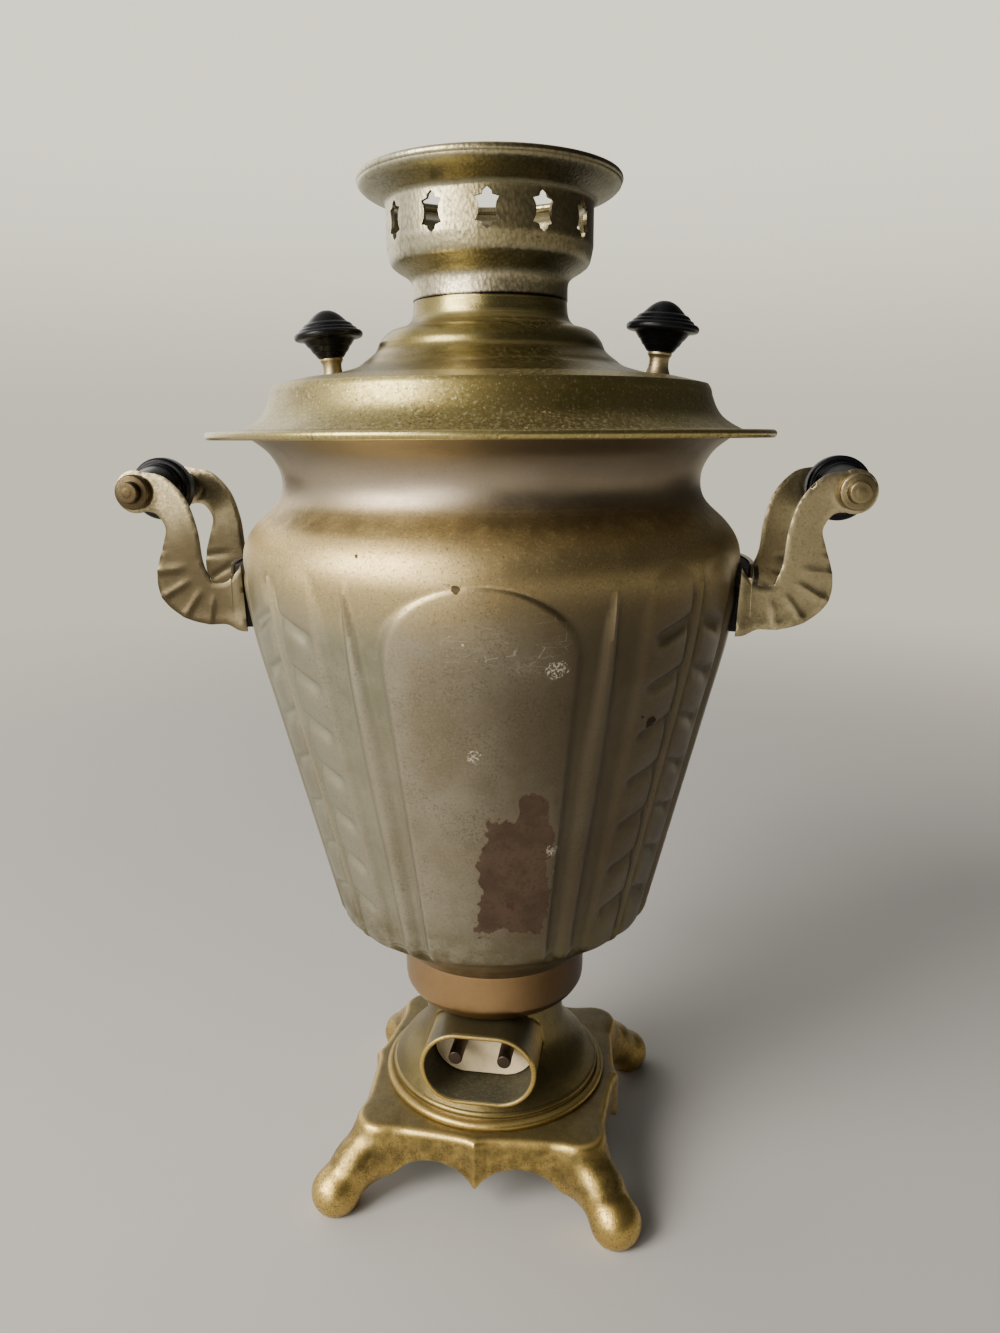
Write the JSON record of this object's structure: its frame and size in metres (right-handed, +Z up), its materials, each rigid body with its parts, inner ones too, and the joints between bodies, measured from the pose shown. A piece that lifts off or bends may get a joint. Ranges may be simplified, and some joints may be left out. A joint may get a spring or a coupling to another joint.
{
  "type": "samovar",
  "caption": "Electric samovar: embossed cone-shaped brass tank on a cast footed base, with lid, crown, bracket handles, two-pin inlet and a turning tap.",
  "frame": {"origin": "on the tank's axis, at the level of the table that the feet stand on", "axes": "+Z up along the tank's axis; the inlet faces -Y, the tap faces +Y, the handles stand out near +X and -X, turned 4.5 degrees with the tank"},
  "size_m": [0.2758, 0.2387, 0.3808],
  "materials": {
    "tank_brass": "dull aged brass with fine dark speckle",
    "ring_brass": "aged olive gold brass",
    "crown_brass": "dull aged brass",
    "base_casting": "gold coloured casting, dark in its hollows",
    "collar_copper": "coppery bronze, satin",
    "bare_brass": "satin brass",
    "bakelite": "black bakelite, worn gloss",
    "pad_rubber": "black, matte",
    "seal_rubber": "brick red rubber",
    "insulator_cream": "cream moulding, satin",
    "pin_steel": "dark oxidised steel",
    "fastener_steel": "dull plated steel",
    "heater_copper": "limed copper tube",
    "lead_cover": "woven glass sleeve"
  },
  "bodies": {
    "samovar": {"base": "base_casting", "dome": "base_casting", "base_cover": "fastener_steel", "tie_rod": "fastener_steel", "tie_nut": "fastener_steel", "collar": "collar_copper", "pan": "tank_brass", "body": "tank_brass", "neck": "tank_brass", "tank_bottom": "bare_brass", "rim_ring": "ring_brass", "heating_element": "heater_copper", "heater_gaskets": "seal_rubber", "heater_nuts": "bare_brass", "left_lead": "lead_cover", "right_lead": "lead_cover", "inlet_shroud": "base_casting", "inlet_insulator": "insulator_cream", "left_inlet_pin": "pin_steel", "right_inlet_pin": "pin_steel", "pin_nuts": "fastener_steel", "left_handle_bracket": "tank_brass", "right_handle_bracket": "tank_brass", "left_handle_pad": "pad_rubber", "right_handle_pad": "pad_rubber", "handle_screws": "fastener_steel", "handle_nuts": "fastener_steel", "left_grip": "bakelite", "right_grip": "bakelite", "left_grip_rod": "fastener_steel", "right_grip_rod": "fastener_steel", "grip_nuts": "crown_brass", "tap_body": "base_casting", "tap_gasket": "seal_rubber", "tap_nut": "bare_brass"},
    "lid_body": {"lid": "ring_brass", "lid_skirt": "ring_brass", "left_knob": "bakelite", "right_knob": "bakelite", "left_knob_stem": "bare_brass", "right_knob_stem": "bare_brass", "knob_nuts": "fastener_steel"},
    "crown_body": {"crown": "crown_brass"},
    "plug_body": {"tap_plug": "base_casting", "tap_key": "bakelite", "plug_washer": "fastener_steel", "plug_nut": "fastener_steel"}
  },
  "joints": [
    {"name": "lid_lift", "type": "slide", "parent": "samovar", "child": "lid_body", "axis": [0, 0, 1], "range_m": [0, 0.08]},
    {"name": "crown_lift", "type": "slide", "parent": "lid_body", "child": "crown_body", "axis": [0, 0, 1], "range_m": [0, 0.04]},
    {"name": "tap_turn", "type": "hinge", "parent": "samovar", "child": "plug_body", "pos_m": [-0.00808, 0.10268, 0.134], "axis": [0, 0, 1], "range_deg": [0, 90]}
  ]
}
